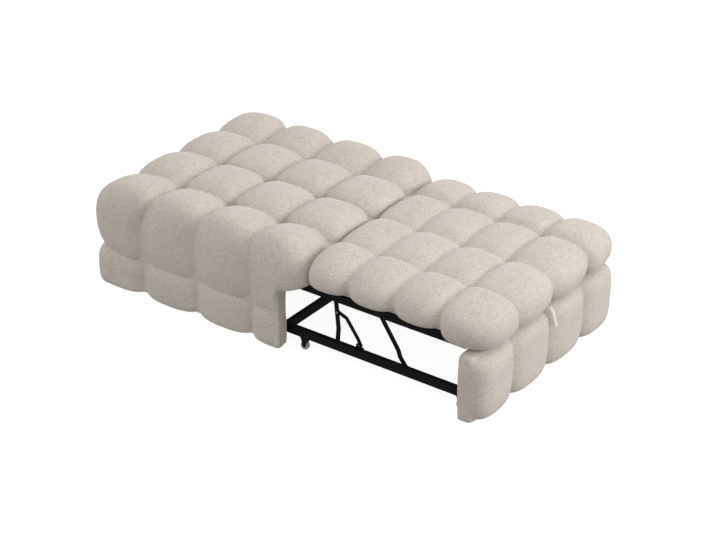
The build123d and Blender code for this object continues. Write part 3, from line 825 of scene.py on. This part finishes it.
class BED_OT_base_band(bpy.types.Operator):
    """Build the padded band round the foot of the base"""

    bl_idname = "bed.base_band"
    bl_label = "Base band"

    def execute(self, context):
        low_z, high_z = 0.006, TIER_HIGH.z + 0.014
        middle = (low_z + high_z) / 2
        half_z = (high_z - low_z) / 2
        head_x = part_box("lower_tier_head")[0].x
        side_y = -TIER_LOW.y
        wall_y = side_y - BAND_INSET
        front_x = FRONT_X + FRONT_WRAP
        pitch = context.scene.bed_cover.seat_pitch
        cuts = [head_x, *(JOINT_X - pitch * n - lean for n, lean in zip((3, 2, 1), VALLEY_LEANS)), front_x]
        depth = 0.075
        seam_share = 0.93
        backing_half_z = half_z - 0.016
        ball = unit_bubble()
        pieces = []
        for side in (-1, 1):
            for index, (low, high) in enumerate(zip(cuts, cuts[1:])):
                half = (high - low) / 2
                centre = ((low + high) / 2, side * (side_y - depth), middle)
                low_half = [half if index == 0 else half / seam_share, depth, half_z]
                high_half = [half if index == 3 else half / seam_share, depth, half_z]
                pieces.append(bubble(ball, centre, low_half, high_half, 2.7, (5.0, 2.6)))
            wall = (front_x - 0.05, side * (PANEL_INNER_Y + wall_y) / 2, middle)
            half = (0.05, (wall_y - PANEL_INNER_Y) / 2, half_z)
            pieces.append(pad(ball, wall, half, 10.0, (7.0, 14.0)))
            backing = ((FRONT_X + HEAD_LOW.x) / 2, side * PANEL_OUTER_Y, middle)
            half = ((FRONT_X - HEAD_LOW.x) / 2 - 0.003, BACKING_HALF, backing_half_z)
            pieces.append(pad(ball, backing, half, 12.0, (12.0, 12.0)))
        edge = side_y - EDGE_INSET
        rows = [-edge, -0.25, 0.0, 0.25, edge]
        for low, high in zip(rows, rows[1:]):
            half = (depth, (high - low) / 2 / seam_share, half_z)
            pieces.append(pad(ball, (head_x + depth, (low + high) / 2, middle), half, 2.7, (5.0, 3.0)))
        half = (BACKING_HALF, PANEL_OUTER_Y, backing_half_z)
        pieces.append(pad(ball, (HEAD_LOW.x, 0.0, middle), half, 12.0, (12.0, 12.0)))
        bpy.data.objects.remove(ball)
        band = fuse(pieces, "base_band", BAND_GRID)
        above = 0.4
        panel_y = PANEL_OUTER_Y + SKIN_GAP
        panels_high = (FRONT_X + SKIN_GAP, panel_y, above)
        carve(band, block("panels", (HEAD_LOW.x - SKIN_GAP, -panel_y, BELOW), panels_high))
        mouth_high = (0.6, PANEL_INNER_Y, above)
        carve(band, block("mouth", (FRONT_X - 0.1, -PANEL_INNER_Y, BELOW), mouth_high))
        smooth_faces(band)
        finish(band, cover_weave())
        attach(band, "base")
        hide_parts("lower_tier_near", "lower_tier_far", "lower_tier_head")
        return {"FINISHED"}


class BED_OT_pull_strap(bpy.types.Operator):
    """Hang the webbing pull strap over the front board, standing off a little as it does"""

    bl_idname = "bed.pull_strap"
    bl_label = "Pull strap"

    def execute(self, context):
        thick = 0.0024
        top = STRAP_HIGH.z - thick / 2
        bend_x = STRAP_HIGH.x - 0.027
        drop = 0.07
        corners = [(STRAP_LOW.x, top), (bend_x, top), (bend_x + 0.013, top - 0.02), (STRAP_HIGH.x, top - drop)]
        strap = ribbon("strap_webbing", corners, STRAP_HIGH.y - STRAP_LOW.y, thick)
        smooth_faces(strap, 40.0)
        finish(strap, tape_material())
        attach(strap, "trundle")
        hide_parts("pull_strap")
        return {"FINISHED"}


class BED_OT_finishes(bpy.types.Operator):
    """Finish the steel, wood and plastic pieces of the frame"""

    bl_idname = "bed.finishes"
    bl_label = "Frame finishes"

    def execute(self, context):
        black, grey = (0.001,) * 3, (0.003,) * 3
        by_slot = {
            "frame_steel": painted_steel_material("powder_coat", black, grey, 0.6),
            "pin_steel": metal_material(),
            "carcass_wood": wood_material("plywood", (0.42, 0.29, 0.17), (0.66, 0.50, 0.33), 7.0, True),
            "slat_wood": wood_material("slat_wood", (0.50, 0.36, 0.21), (0.74, 0.59, 0.40), 6.0),
            "glide_plastic": plastic_material("glide_plastic", (0.015,) * 3, (0.03,) * 3, 0.5),
            "wheel_plastic": plastic_material("wheel_plastic", (0.30, 0.29, 0.28), (0.42, 0.41, 0.39), 0.4),
        }
        slots = {part["node"]: part["material_slot"] for part in frame["record"]["subparts"]}
        for name, node in NODES.items():
            if slots[name] in by_slot:
                finish(node, by_slot[slots[name]])
        return {"FINISHED"}


class BED_OT_stage(bpy.types.Operator):
    """Set up the pale floor, the soft lights and the camera"""

    bl_idname = "bed.stage"
    bl_label = "Studio and camera"

    def execute(self, context):
        look = context.scene.bed_studio
        pick_nothing()
        bpy.ops.mesh.primitive_plane_add(size=60.0, location=(0.0, 0.0, -0.0005))
        floor = bpy.context.object
        floor.name = "studio_floor"
        material, tree, shader = new_material("studio_paper")
        grain = noise(tree, object_place(tree), 300.0, 2.0, 0.5)
        base = tuple(look.floor)
        tone = ramp(tree, grain, [(0.2, tuple(c * 0.995 for c in base)), (0.8, base)])
        tree.links.new(tone, shader.inputs["Base Color"])
        socket(shader, "Roughness", 0.9)
        socket(shader, "Specular IOR Level", 0.1)
        socket(shader, "Emission Color", (1.0, 1.0, 1.0, 1.0))
        socket(shader, "Emission Strength", look.glow)
        finish(floor, material)
        floor.visible_diffuse = False
        floor.visible_glossy = False
        world = bpy.data.worlds.new("studio_sky")
        world.use_nodes = True
        sky = world.node_tree
        background = sky.nodes["Background"]
        place = sky.nodes.new("ShaderNodeTexCoord")
        split = sky.nodes.new("ShaderNodeSeparateXYZ")
        sky.links.new(place.outputs["Generated"], split.inputs[0])
        tone = ramp(sky, split.outputs["Z"], [(0.0, (0.42, 0.42, 0.42)), (0.04, (1.0, 1.0, 1.0))])
        sky.links.new(tone, background.inputs["Color"])
        background.inputs["Strength"].default_value = look.sky
        context.scene.world = world
        context.scene.view_settings.view_transform = "Standard"
        aim = Vector((0.0, 0.0, 0.2))
        lights = (("key", (6.0, 1.5, 3.2), look.key_power), ("fill", (-2.5, -4.5, 3.2), look.fill_power))
        for name, place, power in lights:
            bpy.ops.object.light_add(type="AREA", location=place)
            light = bpy.context.object
            light.name = name + "_light"
            light.data.shape = "DISK"
            light.data.size = 3.0
            light.data.energy = power
            light.rotation_euler = (aim - Vector(place)).to_track_quat("-Z", "Y").to_euler()
        bpy.ops.object.camera_add(location=(3.91252, -5.33381, 3.76821))
        camera = bpy.context.object
        camera.name = "studio_camera"
        camera.rotation_euler = (math.radians(61.3282), 0.0, math.radians(35.9894))
        camera.data.sensor_width = 36.0
        camera.data.lens = 95.4901
        camera.data.clip_end = 100.0
        context.scene.camera = camera
        return {"FINISHED"}


class BED_PT_panel(bpy.types.Panel):
    """Lists the bed's pieces and sizes"""

    bl_idname = "BED_PT_panel"
    bl_label = "Guest bed"
    bl_space_type = "VIEW_3D"
    bl_region_type = "UI"
    bl_category = "Guest Bed"

    def draw(self, context):
        layout = self.layout
        for group, names in (
            (context.scene.bed_cover, CoverSizes.__annotations__),
            (context.scene.bed_fabric, FabricLook.__annotations__),
            (context.scene.bed_studio, StudioLook.__annotations__),
        ):
            column = layout.column(align=True)
            for name in names:
                column.prop(group, name)
        for operator in PIECES:
            layout.operator(operator.bl_idname)


PIECES = (
    BED_OT_stage,
    BED_OT_seat_cover,
    BED_OT_front_cover,
    BED_OT_leaf_cover,
    BED_OT_base_band,
    BED_OT_pull_strap,
    BED_OT_finishes,
)
GROUPS = (CoverSizes, FabricLook, StudioLook)


def register():
    """Register the property groups, operators and panel."""
    for group in (*GROUPS, *PIECES, BED_PT_panel):
        bpy.utils.register_class(group)
    bpy.types.Scene.bed_cover = PointerProperty(type=CoverSizes)
    bpy.types.Scene.bed_fabric = PointerProperty(type=FabricLook)
    bpy.types.Scene.bed_studio = PointerProperty(type=StudioLook)


def unregister():
    """Take them away again."""
    del bpy.types.Scene.bed_cover
    del bpy.types.Scene.bed_fabric
    del bpy.types.Scene.bed_studio
    for group in reversed((*GROUPS, *PIECES, BED_PT_panel)):
        bpy.utils.unregister_class(group)


def main():
    """Build every piece in order."""
    register()
    bpy.ops.bed.stage()
    bpy.ops.bed.seat_cover()
    bpy.ops.bed.front_cover()
    bpy.ops.bed.leaf_cover()
    bpy.ops.bed.base_band()
    bpy.ops.bed.pull_strap()
    bpy.ops.bed.finishes()


if __name__ == "__main__":
    main()
